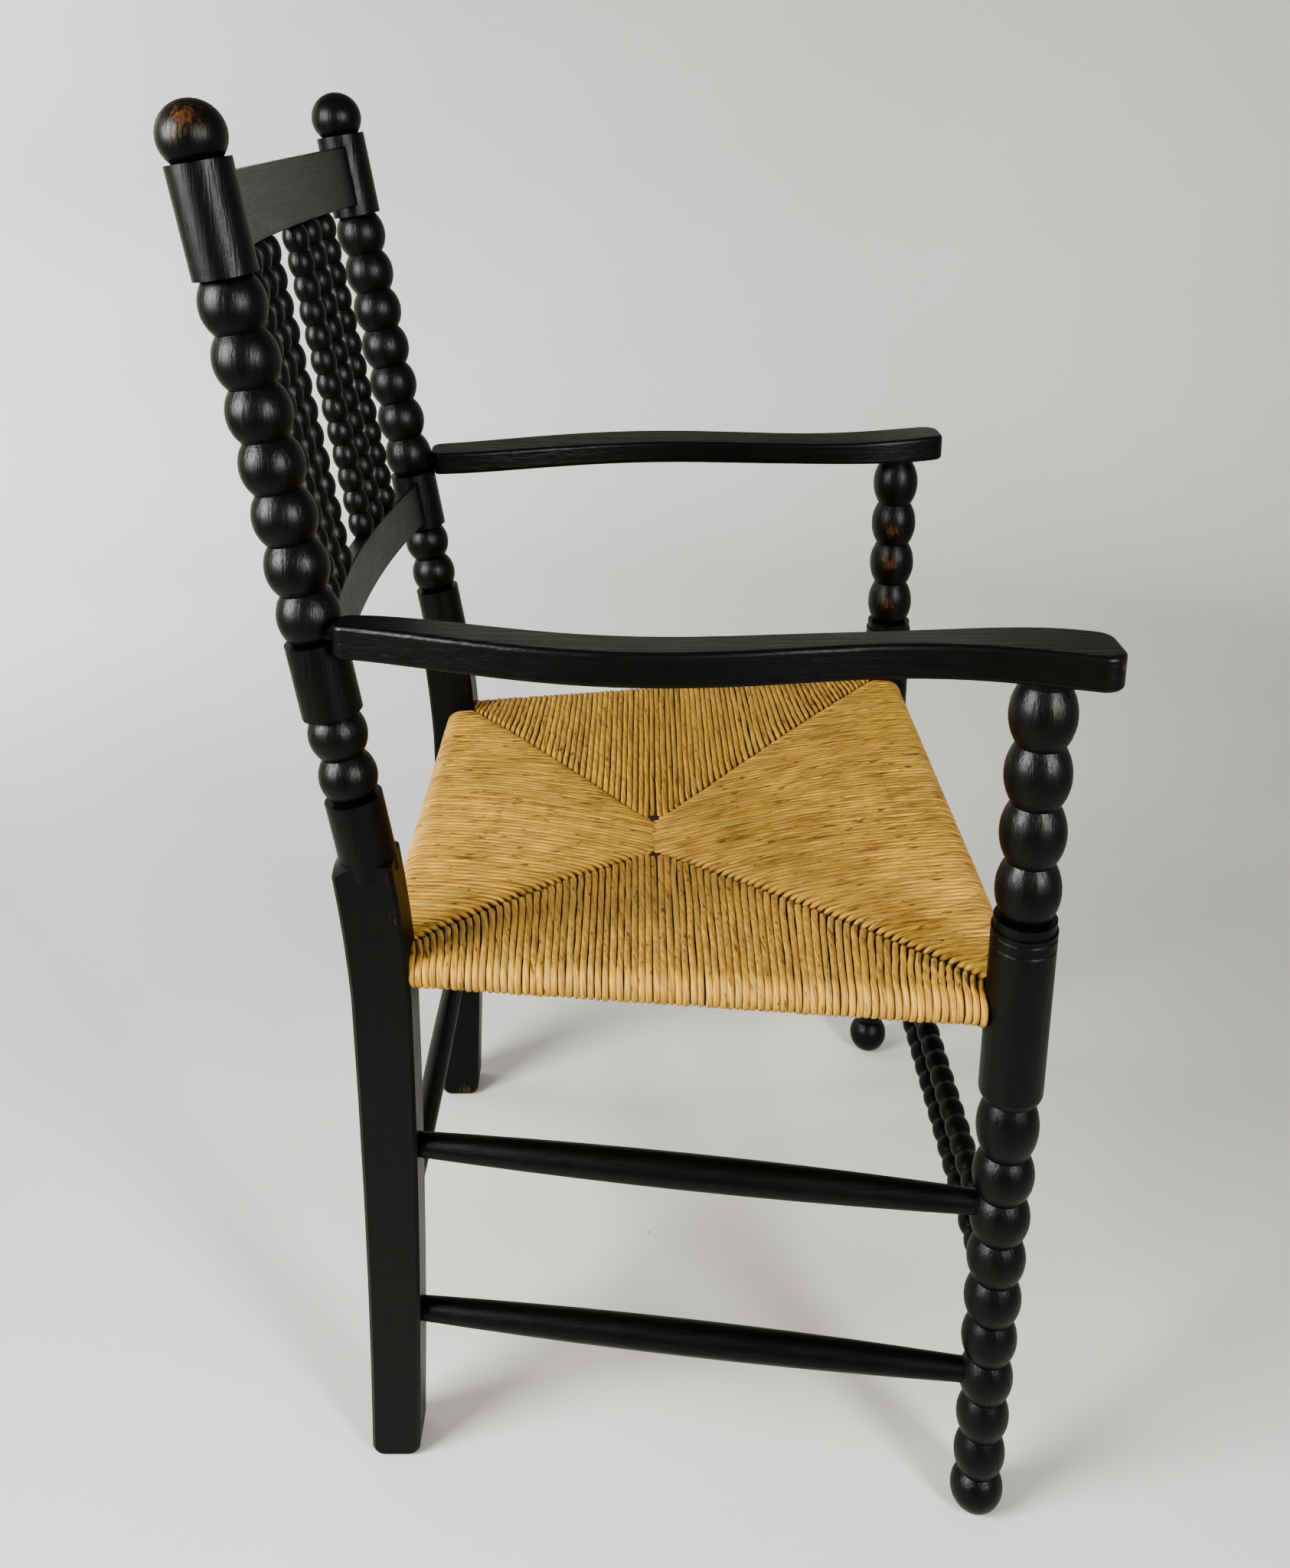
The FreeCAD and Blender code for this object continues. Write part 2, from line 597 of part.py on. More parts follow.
def is_plumb(edge):
    """A straight upright edge."""
    first, last = edge.Vertexes[0].Point, edge.Vertexes[-1].Point
    return abs(first.x - last.x) < 0.01 and abs(first.y - last.y) < 0.01


def is_corner_at(edge, end):
    """One of the two upright edges at an end of an arm."""
    return is_plumb(edge) and abs(edge.Vertexes[0].Point.y - end) < 0.01


def arm_with_joints(blank):
    """Arm with its round tenon for the post, coped to the post's bobbin and bored for the front leg."""
    axis = BACK_TURN.multVec(Vector(0, 0, 1))
    level = arm_underside + d.arm_thickness / 2
    inside = d.arm_pin_radius * 2
    cope = cylinder("arm_cope", d.post_bobbin_radius + d.fit_gap, post_turned,
                    back_place(d.back_half, ZERO, ZERO), axis)
    coped = cut("arm_coped", blank, [cope])
    pin = cylinder("arm_pin", d.arm_pin_radius, d.arm_pin_length + inside,
                   (d.arm_pin_reach, front_y + d.arm_heel_run - inside, level), Vector(0, 1, 0))
    pinned = doc.addObject("Part::Fuse", "arm_pinned")
    pinned.Base, pinned.Tool = coped, pin
    bore = cylinder("arm_bore", d.arm_tenon_radius + d.fit_gap, d.arm_tenon_length + d.fit_gap,
                    (d.front_half, front_y, arm_underside))
    return cut("arm_left", pinned, [bore])


def arm_pin_socket():
    """Cutter in the back post for the arm's round tenon."""
    level = arm_underside + d.arm_thickness / 2
    deep = d.arm_pin_length + d.fit_gap
    return cylinder("arm_pin_socket", d.arm_pin_radius + d.fit_gap, deep,
                    (d.arm_pin_reach, front_y + d.arm_heel_run, level), Vector(0, 1, 0))


class Bar:
    """A turned bar between two points, with a socket in each piece that holds it."""

    def __init__(self, start, end):
        self.start, self.end = start, end
        self.way = [last - first for first, last in zip(start, end)]
        across, along, up = self.way
        self.length = root(across * across + along * along + up * up)
        self.axis = Vector(across.value, along.value, up.value).normalize()

    def body(self, name, outline):
        body = new_body(name)
        revolve(body, name + "_turning", outline)
        body.Placement = Placement(Vector(), Rotation(Vector(0, 0, 1), self.axis))
        bind_place(body, *self.start)
        return body

    def socket(self, name, radius, at_end):
        """Cutter for the tenon in the piece at the start or at the end."""
        share = (d.tenon_stop - d.fit_gap) / self.length
        base, sign = (self.end, -1) if at_end else (self.start, 1)
        place = [end + way * share * sign for end, way in zip(base, self.way)]
        return cylinder(name, radius + d.fit_gap, d.post_depth, place, self.axis * sign)


def plain_stretcher_outline(length, radius, end):
    """Plain stretcher, swelling in one long curve from the end's radius to the middle's."""
    near, far = d.tenon_stop, length - d.tenon_stop
    start, stop = d.leg_cylinder_radius, length - d.leg_cylinder_radius
    return [(ZERO, near, None), (end, near, None), (end, start, None),
            (end, stop, radius - end), (end, far, None), (ZERO, far, None)]


def seat_rail_outline(length):
    """Round seat rail with tapered shoulders and tenons."""
    near, far = d.tenon_stop, length - d.tenon_stop
    start = d.leg_cylinder_radius + d.rush_gap
    taper = d.seat_rail_radius - d.seat_tenon_radius
    tenon, rail = d.seat_tenon_radius, d.seat_rail_radius
    return [(ZERO, near, None), (tenon, near, None), (tenon, start, None), (rail, start + taper, None),
            (rail, length - start - taper, None), (tenon, length - start, None),
            (tenon, far, None), (ZERO, far, None)]


def front_stretcher_outline(length):
    """Bobbin-turned stretcher with a tenon at each end."""
    near, far = d.tenon_stop, length - d.tenon_stop
    tenon, neck = d.front_tenon_radius, d.front_bobbin_radius - d.front_bobbin_cut
    start = d.front_inset
    pitch = (length - start * 2) / d.front_bobbin_count
    outline = [(ZERO, near, None), (tenon, near, None), (tenon, start, None), (neck, start, None)]
    outline += string_of_bobbins(start, d.front_bobbin_count, pitch,
                                 d.front_bobbin_radius, d.front_bobbin_cut)
    outline += [(tenon, length - start, None), (tenon, far, None), (ZERO, far, None)]
    return outline


def spindle_outline():
    """Bobbin-turned spindle with a tenon in each back rail."""
    tenon, neck = d.spindle_tenon_radius, d.spindle_radius - d.spindle_cut
    start = d.spindle_tenon_length
    pitch = (spindle_span - d.fit_gap * 2) / d.spindle_count
    stop = start + pitch * d.spindle_count
    outline = [(ZERO, ZERO, None), (tenon, ZERO, None), (tenon, start, None), (neck, start, None)]
    outline += string_of_bobbins(start, d.spindle_count, pitch, d.spindle_radius, d.spindle_cut)
    outline += [(tenon, stop, None), (tenon, stop + start, None), (ZERO, stop + start, None)]
    return outline


def spindle(name, across):
    """One spindle at its place along the bow of the rails, and its two sockets."""
    behind = rail_bow_at(across) - d.rail_ahead
    body = new_body(name)
    revolve(body, name + "_turning", spindle_outline())
    body.Placement = Placement(Vector(), BACK_TURN)
    bind_place(body, *back_place(across, behind, lower_rail_top + d.fit_gap - d.spindle_tenon_length))
    radius, deep = d.spindle_tenon_radius + d.fit_gap, d.spindle_tenon_length + d.fit_gap
    axis = BACK_TURN.multVec(Vector(0, 0, 1))
    low = back_place(across, behind, lower_rail_top - deep)
    high = back_place(across, behind, crest_foot - deep)
    sockets = [cylinder(name + "_low_socket", radius, deep * 2, low, axis),
               cylinder(name + "_high_socket", radius, deep * 2, high, axis)]
    return body, sockets


def rush_web():
    """Rush between the rails: four panels that fall to a short ridge line, and a belly below."""
    edge = (d.seat_rail_radius + d.rush_wrap - d.rush_lap).value
    front, back = d.seat_front_height.value, d.seat_back_height.value
    corners = [Vector(-d.front_half.value, seat_front_y.value, front),
               Vector(d.front_half.value, seat_front_y.value, front),
               Vector(d.back_half.value, seat_back_y.value, back),
               Vector(-d.back_half.value, seat_back_y.value, back)]
    middle = Vector(0, (front_y + d.seat_ridge_run).value, (front + back) / 2)
    half_ridge = Vector(d.seat_ridge.value / 2, 0, 0)
    ridge = [middle - half_ridge, middle + half_ridge]
    faces = []
    for way, fall in ((1, -d.seat_sag.value), (-1, -d.seat_belly.value)):
        rim = [corner + Vector(0, 0, way * edge) for corner in corners]
        low = [end + Vector(0, 0, way * edge + fall) for end in ridge]
        panels = [(rim[0], rim[1], low[1], low[0]), (rim[1], rim[2], low[1]),
                  (rim[2], rim[3], low[0], low[1]), (rim[3], rim[0], low[0])]
        faces += [Part.Face(Part.makePolygon(list(panel) + [panel[0]])) for panel in panels]
    for index in range(4):
        first, second = corners[index], corners[(index + 1) % 4]
        wall = [first - Vector(0, 0, edge), second - Vector(0, 0, edge),
                second + Vector(0, 0, edge), first + Vector(0, 0, edge)]
        faces.append(Part.Face(Part.makePolygon(wall + [wall[0]])))
    web = doc.addObject("Part::Feature", "rush_web")
    web.Shape = Part.makeSolid(Part.makeShell(faces))
    return web


def rush_seat(web, rails):
    """Woven seat as one solid: the web, a wrap round each rail, clear of rails, legs and posts."""
    wrap = d.seat_rail_radius + d.rush_wrap
    wraps = [cylinder(name + "_wrap", wrap, bar.length, bar.start, bar.axis) for name, bar in rails.items()]
    whole = doc.addObject("Part::MultiFuse", "rush_whole")
    whole.Shapes = [web] + wraps
    hollow = d.seat_rail_radius + d.rush_gap
    tools = [cylinder(name + "_hollow", hollow, bar.length, bar.start, bar.axis)
             for name, bar in rails.items()]
    below = wrap * 2
    for sign in (1, -1):
        tools.append(cylinder("leg_room", d.leg_cylinder_radius + d.rush_gap, below * 2,
                              (d.front_half * sign, front_y, d.seat_front_height - below)))
        tools.append(post_room(sign, d.seat_back_height - below, below * 2))
    return cut("rush_seat", whole, tools)


def post_room(sign, low, tall):
    """Room for the square part of a back post in the rush, from a height and so tall."""
    room = doc.addObject("Part::Box", "post_room")
    width = d.post_square + d.rush_gap * 2
    depth = d.post_depth + d.post_room_gap * 2
    bind(room, "Length", width)
    bind(room, "Width", depth)
    bind(room, "Height", tall)
    bind_place(room, d.back_half * sign - width / 2, post_seat_y - depth / 2, low)
    return room


def leg_point(height):
    return (d.front_half, front_y, height)


def post_point(height):
    return (d.back_half, post_middle(height), height)


def across(point):
    """A bar from a point on the left to its mirror image."""
    return Bar(point, (-point[0], point[1], point[2]))


def leg_bobbin_centre(index):
    """Height of the middle of a front leg's bobbin, counted from nought above the foot bobbin."""
    return d.foot_bobbin_length + d.leg_bobbin_pitch * (index + 0.5)


# Bars between the legs and posts; a name without a side runs across the chair
post_seat_y = post_middle(d.seat_back_height)
seat_front_y = front_y + d.seat_front_behind
seat_back_y = post_seat_y - d.seat_back_ahead
seat_bars = {"seat_rail_front": across((d.front_half, seat_front_y, d.seat_front_height)),
             "seat_rail_back": across((d.back_half, seat_back_y, d.seat_back_height)),
             "seat_rail_left": Bar(leg_point(d.seat_front_height), post_point(d.seat_back_height))}
side_bars = {"side_stretcher_upper": Bar(leg_point(d.side_upper_front), post_point(d.side_upper_back)),
             "side_stretcher_lower": Bar(leg_point(d.side_lower_front), post_point(d.side_lower_back))}
front_bars = {"front_stretcher_upper": across(leg_point(leg_bobbin_centre(d.front_upper_place))),
              "front_stretcher_lower": across(leg_point(leg_bobbin_centre(d.front_lower_place)))}
back_bar = across((d.back_half, post_middle(d.back_height) - d.back_ahead, d.back_height))

pieces = {}
leg_sockets = []
post_sockets = [arm_pin_socket()]

for name, bar in seat_bars.items():
    pieces[name] = bar.body(name, seat_rail_outline(bar.length))
pieces["seat_rail_right"] = mirror("seat_rail_right", pieces["seat_rail_left"])
leg_sockets.append(seat_bars["seat_rail_front"].socket("front_rail_socket", d.seat_tenon_radius, False))
leg_sockets.append(seat_bars["seat_rail_left"].socket("side_rail_socket", d.seat_tenon_radius, False))
post_sockets.append(seat_bars["seat_rail_left"].socket("side_rail_end_socket", d.seat_tenon_radius, True))
post_sockets.append(seat_bars["seat_rail_back"].socket("back_rail_socket", d.seat_tenon_radius, False))

for name, bar in side_bars.items():
    outline = plain_stretcher_outline(bar.length, d.stretcher_radius, d.stretcher_end)
    pieces[name + "_left"] = bar.body(name + "_left", outline)
    pieces[name + "_right"] = mirror(name + "_right", pieces[name + "_left"])
    leg_sockets.append(bar.socket(name + "_socket", d.stretcher_end, False))
    post_sockets.append(bar.socket(name + "_end_socket", d.stretcher_end, True))

for name, bar in front_bars.items():
    pieces[name] = bar.body(name, front_stretcher_outline(bar.length))
    leg_sockets.append(bar.socket(name + "_socket", d.front_tenon_radius, False))

back_outline = plain_stretcher_outline(back_bar.length, d.back_radius, d.back_end)
pieces["back_stretcher"] = back_bar.body("back_stretcher", back_outline)
post_sockets.append(back_bar.socket("back_stretcher_socket", d.back_end, False))

# The back: two bowed rails with six spindles between them, numbered from the left
spindle_places = [d.spindle_outer, d.spindle_middle, d.spindle_inner,
                  -d.spindle_inner, -d.spindle_middle, -d.spindle_outer]
low_sockets = []
high_sockets = []
for number, place in enumerate(spindle_places, start=1):
    name = "spindle_%d" % number
    pieces[name], (low, high) = spindle(name, place)
    low_sockets.append(low)
    high_sockets.append(high)
crest_board = bowed_board("crest_board", crest_foot, d.crest_height)
lower_board = bowed_board("lower_board", lower_rail_foot, d.lower_rail_height)
pieces["crest_rail"] = cut("crest_rail", crest_board, high_sockets)
pieces["lower_back_rail"] = cut("lower_back_rail", lower_board, low_sockets)
post_sockets.append(bowed_board("crest_housing", crest_foot, d.crest_height, d.fit_gap))
post_sockets.append(bowed_board("lower_housing", lower_rail_foot, d.lower_rail_height, d.fit_gap))

# Legs, posts and arms with their joints
pieces["front_leg_left"] = cut("front_leg_left", front_leg_blank(), leg_sockets)
pieces["back_post_left"] = cut("back_post_left", back_post_blank(), post_sockets)
pieces["arm_left"] = arm_with_joints(arm_blank())
for name in ("front_leg", "back_post", "arm"):
    pieces[name + "_right"] = mirror(name + "_right", pieces[name + "_left"])

right_bar = Bar((-d.front_half, front_y, d.seat_front_height),
                (-d.back_half, post_seat_y, d.seat_back_height))
pieces["rush_seat"] = rush_seat(rush_web(), dict(seat_bars, seat_rail_right=right_bar))

doc.recompute()
for thing in doc.Objects:
    if "Invalid" in thing.State or "Error" in thing.State:
        raise RuntimeError("%s does not build: %s" % (thing.Name, thing.State))
os.makedirs("parts", exist_ok=True)
for name, piece in pieces.items():
    piece.Label = name
    shape = piece.Shape
    if shape.isNull() or not shape.isValid() or len(shape.Solids) != 1:
        raise RuntimeError("%s is not one sound solid" % name)
    shape.exportStep("parts/%s.step" % name)
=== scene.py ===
# Looks of the rush-seat elbow chair: ebonised wood, woven rush, floor, light and camera.
# Metres, in the frame of the CAD model: X across, the front faces -Y, Z is up.
import math

import bpy
import numpy as np
from mathutils import Matrix, Vector


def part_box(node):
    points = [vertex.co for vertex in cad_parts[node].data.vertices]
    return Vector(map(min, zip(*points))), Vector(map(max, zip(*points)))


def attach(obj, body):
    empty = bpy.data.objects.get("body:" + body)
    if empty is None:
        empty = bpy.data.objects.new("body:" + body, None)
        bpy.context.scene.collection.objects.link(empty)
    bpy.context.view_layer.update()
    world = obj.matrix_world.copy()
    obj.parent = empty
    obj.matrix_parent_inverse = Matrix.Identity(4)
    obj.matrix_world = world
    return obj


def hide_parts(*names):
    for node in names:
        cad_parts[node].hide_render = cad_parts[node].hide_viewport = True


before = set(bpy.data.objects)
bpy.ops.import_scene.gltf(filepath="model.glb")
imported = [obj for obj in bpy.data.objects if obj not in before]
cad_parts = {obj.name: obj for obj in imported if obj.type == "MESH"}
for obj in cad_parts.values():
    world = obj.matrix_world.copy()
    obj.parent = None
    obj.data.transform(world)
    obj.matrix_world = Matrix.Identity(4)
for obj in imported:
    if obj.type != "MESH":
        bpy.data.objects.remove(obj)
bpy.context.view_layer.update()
rng = np.random.default_rng(20)


def middle_and_half(name):
    """Middle and half size of a CAD node's box."""
    lowest, highest = (np.array(corner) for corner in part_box(name))
    return (lowest + highest) / 2, (highest - lowest) / 2


# Places of the seat's rails, legs and posts, from the boxes of the CAD model
LEG_MIDDLE, LEG_HALF = middle_and_half("front_leg_left")
POST_MIDDLE = middle_and_half("back_post_left")[0]
FRONT_RAIL, RAIL_HALF = middle_and_half("seat_rail_front")
BACK_RAIL = middle_and_half("seat_rail_back")[0]
FRONT_LEG = LEG_MIDDLE[:2]
LEG_RADIUS = LEG_HALF[0]
RAIL_RADIUS = RAIL_HALF[2]

# The square post at seat height, which its leaning box doesn't give; the side cords lap into it a little
POST_BEHIND_RAIL = 0.007
BACK_POST = np.array([POST_MIDDLE[0], BACK_RAIL[1] + POST_BEHIND_RAIL])
POST_HALF_WIDE = 0.018
POST_HALF_DEEP = 0.0205
POST_LAP = 0.002

# Sizes of the woven seat
RIDGE_HALF = 0.023
RIDGE_BEHIND_LEGS = 0.233
RIDGE_Y = FRONT_LEG[1] + RIDGE_BEHIND_LEGS
SEAT_SAG = 0.031
SEAT_BELLY = 0.014
SAG_POWER = 1.4
SEAM_LAP = 0.004
SEAM_TUCK = 0.0060
SEAM_EASE = 0.006
RIDGE_START, RIDGE_FADE = 0.82, 0.15
RIDGE_HOLE = 0.006
RIDGE_HOLE_SPAN = 0.0045
FRONT_CORNER = np.array([FRONT_LEG[0] - 0.018, FRONT_LEG[1] + 0.019])
BACK_CORNER = np.array([BACK_POST[0] - 0.016, BACK_POST[1] - 0.020])
CORD_PITCH = 0.0049
CORD_HALF_HIGH = 0.0020
CORD_SIDES = 10
CORD_SQUARENESS = 0.85
CORD_TIP = 0.02
WRAP_RADIUS = RAIL_RADIUS + CORD_HALF_HIGH
UNDER_PRESS = 0.0003
UNDER_RADIUS = RAIL_RADIUS + UNDER_PRESS
TOP_STEPS, TURN_STEPS, UNDER_STEPS = 44, 14, 18
STEP_CROWDING = 1.15
STUFFING_GAP = 0.005
STUFFING_THINNEST = 0.0008

# How far a cord strays: hooks and leans fade towards the middle of a panel and on short cords
HOOK_SPAN = 0.12
LEAN_SPAN = 0.16
HOOK_FADE = 0.010
PARTING_FADE = 0.012
SHORT_RUN = 0.03
SHORTEST_RUN = 0.012
WAVE_COUNTS = np.array([7, 16, 33])
WAVE_SIZE = 0.00015
WIDTH_CHANGE = 0.04
HEIGHT_CHANGE = 0.00025


def smooth_mesh(name, points, faces, material):
    """A smooth object from an array of points and an array of four-cornered faces."""
    mesh = bpy.data.meshes.new(name)
    mesh.from_pydata(points.reshape(-1, 3).tolist(), [], faces.reshape(-1, 4).tolist())
    mesh.polygons.foreach_set("use_smooth", np.ones(len(mesh.polygons), bool))
    mesh.materials.append(material)
    made = bpy.data.objects.new(name, mesh)
    bpy.context.scene.collection.objects.link(made)
    return made


def mesh_piece(name, points, faces, material):
    """A new piece of the seat, which rides on the chair."""
    piece = smooth_mesh(name, points, faces, material)
    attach(piece, "root")
    return piece


def ring_faces(points):
    """Quads of closed rings (ring, point, 3): each point joins the next ring and the next point."""
    index = np.arange(points[..., 0].size).reshape(points.shape[:2])
    here, ahead = index[:-1], index[1:]
    return np.stack([here, ahead, np.roll(ahead, -1, 1), np.roll(here, -1, 1)], -1)


# Shader helpers
def new_material(name):
    """A material with its node tree and its surface shader."""
    material = bpy.data.materials.new(name)
    material.use_nodes = True
    return material, material.node_tree, material.node_tree.nodes["Principled BSDF"]


def new_group(name, inputs, outputs):
    """An empty shader node group with named inputs and outputs."""
    group = bpy.data.node_groups.new(name, "ShaderNodeTree")
    for label, kind, value in inputs:
        socket = group.interface.new_socket(label, in_out="INPUT", socket_type=kind)
        socket.default_value = value
    for label, kind in outputs:
        group.interface.new_socket(label, in_out="OUTPUT", socket_type=kind)
    return group, group.nodes.new("NodeGroupInput"), group.nodes.new("NodeGroupOutput")


def node(tree, kind, links=None, **settings):
    """A shader node with its settings; links maps an input to a socket or a plain value."""
    made = tree.nodes.new("ShaderNode" + kind)
    for label, value in settings.items():
        setattr(made, label, value)
    for label, value in (links or {}).items():
        if isinstance(value, bpy.types.NodeSocket):
            tree.links.new(value, made.inputs[label])
        else:
            made.inputs[label].default_value = value
    return made


def math_node(tree, operation, first, second=0.0, clamp=False):
    """One step of arithmetic on two values."""
    return node(tree, "Math", {0: first, 1: second}, operation=operation, use_clamp=clamp).outputs[0]


def ramp(tree, factor, stops):
    """A colour ramp from (place, colour) stops."""
    made = node(tree, "ValToRGB", {"Fac": factor})
    while len(made.color_ramp.elements) < len(stops):
        made.color_ramp.elements.new(0.5)
    for element, (place, colour) in zip(made.color_ramp.elements, stops):
        element.position = place
        element.color = (*colour, 1.0)
    return made.outputs["Color"]


def mix(tree, factor, first, second):
    """The first colour going over to the second as the factor goes from 0 to 1."""
    made = node(tree, "Mix", {"Factor": factor}, data_type="RGBA")
    for label, value in ((6, first), (7, second)):
        if isinstance(value, bpy.types.NodeSocket):
            tree.links.new(value, made.inputs[label])
        else:
            made.inputs[label].default_value = (*value, 1.0)
    return made.outputs[2]


def noise(tree, place, scale, detail=3.0, roughness=0.55):
    """Even noise from 0 to 1 at a place."""
    return node(tree, "TexNoise", {"Vector": place, "Scale": scale, "Detail": detail,
                                   "Roughness": roughness}).outputs["Fac"]


def spread(tree, value, low, high):
    """Value mapped from low..high to 0..1 and held there."""
    made = node(tree, "MapRange", {"Value": value, "From Min": low, "From Max": high})
    made.clamp = True
    return made.outputs["Result"]


def wood_grain_group():
    """Streaks and pores along the grain: noise on coordinates squeezed along one direction."""
    group, given, put = new_group(
        "wood_grain",
        [("Stretch", "NodeSocketVector", (1.0, 1.0, 0.05))],
        [("Streak", "NodeSocketFloat"), ("Pores", "NodeSocketFloat")])
    place = node(group, "TexCoord").outputs["Object"]
    drawn = node(group, "VectorMath", {0: place, 1: given.outputs["Stretch"]},
                 operation="MULTIPLY").outputs[0]
    streak = noise(group, drawn, 420.0, 4.0, 0.6)
    pores = noise(group, drawn, 900.0, 2.0, 0.5)
    group.links.new(streak, put.inputs["Streak"])
    group.links.new(spread(group, pores, 0.52, 0.72), put.inputs["Pores"])
    return group


def wear_spot_group():
    """Mask of a rubbed place: nearness to a centre, broken up by a fine noise drawn out upwards."""
    group, given, put = new_group(
        "rubbed_spot",
        [("Centre", "NodeSocketVector", (0.0, 0.0, 0.0)), ("Radius", "NodeSocketFloat", 0.01),
         ("Cover", "NodeSocketFloat", 0.5)],
        [("Mask", "NodeSocketFloat")])
    place = node(group, "TexCoord").outputs["Object"]
    away = node(group, "VectorMath", {0: place, 1: given.outputs["Centre"]},
                operation="DISTANCE").outputs["Value"]
    near = math_node(group, "SUBTRACT", 1.0, math_node(group, "DIVIDE", away, given.outputs["Radius"]), True)
    drawn = node(group, "VectorMath", {0: place, 1: (1.0, 1.0, 0.4)},
                 operation="MULTIPLY").outputs[0]
    flecks = noise(group, drawn, 420.0, 5.0, 0.7)
    level = math_node(group, "ADD", flecks, math_node(group, "MULTIPLY", near, given.outputs["Cover"]))
    worn = spread(group, level, 0.72, 0.86)
    group.links.new(math_node(group, "MULTIPLY", worn, spread(group, near, 0.0, 0.15)), put.inputs["Mask"])
    return group


WOOD_GRAIN = wood_grain_group()
WEAR_SPOT = wear_spot_group()


def ebonised(name, stretch, spots=(), gloss=0.28, grain_depth=0.80):
    """Black polished wood with grain along one direction and rubbed spots down to the brown wood.

    stretch squeezes the grain along its direction, each spot is a centre, a radius and a cover,
    gloss is the strength of the polish and grain_depth that of the grain's relief.
    """
    material, tree, shader = new_material(name)
    grain = node(tree, "Group", node_tree=WOOD_GRAIN)
    grain.inputs["Stretch"].default_value = stretch
    place = node(tree, "TexCoord").outputs["Object"]
    cloud = noise(tree, place, 14.0, 3.0, 0.6)
    black = ramp(tree, cloud, [(0.3, (0.0014, 0.0017, 0.0012)), (0.7, (0.0028, 0.0031, 0.0023))])
    streak = grain.outputs["Streak"]
    colour = mix(tree, math_node(tree, "MULTIPLY", streak, 0.35), black, (0.0068, 0.0072, 0.0057))
    worn = None
    for centre, radius, cover in spots:
        spot = node(tree, "Group", node_tree=WEAR_SPOT)
        spot.inputs["Centre"].default_value = centre
        spot.inputs["Radius"].default_value = radius
        spot.inputs["Cover"].default_value = cover
        mask = spot.outputs["Mask"]
        worn = mask if worn is None else math_node(tree, "MAXIMUM", worn, mask)
    if worn is not None:
        brown = ramp(tree, streak, [(0.3, (0.026, 0.011, 0.005)), (0.7, (0.105, 0.043, 0.017))])
        colour = mix(tree, worn, colour, brown)
    tree.links.new(colour, shader.inputs["Base Color"])
    rough = spread(tree, noise(tree, place, 60.0, 4.0, 0.65), 0.25, 0.8)
    streaked = math_node(tree, "ADD", math_node(tree, "MULTIPLY", rough, 0.05),
                         math_node(tree, "MULTIPLY", streak, 0.22))
    tree.links.new(math_node(tree, "ADD", 0.25, streaked), shader.inputs["Roughness"])
    bump = node(tree, "Bump", {"Height": streak, "Strength": grain_depth, "Distance": 0.0005})
    pitted = node(tree, "Bump", {"Height": grain.outputs["Pores"], "Strength": 0.12, "Distance": 0.0003,
                                 "Normal": bump.outputs[0]})
    pitted.invert = True
    hand_rubbed = node(tree, "Bump", {"Height": noise(tree, place, 110.0, 2.0, 0.5), "Strength": 0.14,
                                      "Distance": 0.0010, "Normal": pitted.outputs[0]})
    tree.links.new(hand_rubbed.outputs[0], shader.inputs["Normal"])
    shader.inputs["Specular IOR Level"].default_value = gloss
    return material


def plain_rail_wood():
    """Bare wood of the seat rails, hidden under the rush."""
    material, tree, shader = new_material("rail_wood")
    grain = node(tree, "Group", node_tree=WOOD_GRAIN)
    grain.inputs["Stretch"].default_value = (0.05, 0.05, 1.0)
    bare = ramp(tree, grain.outputs["Streak"], [(0.3, (0.16, 0.09, 0.045)), (0.7, (0.30, 0.19, 0.10))])
    tree.links.new(bare, shader.inputs["Base Color"])
    shader.inputs["Roughness"].default_value = 0.65
    return material


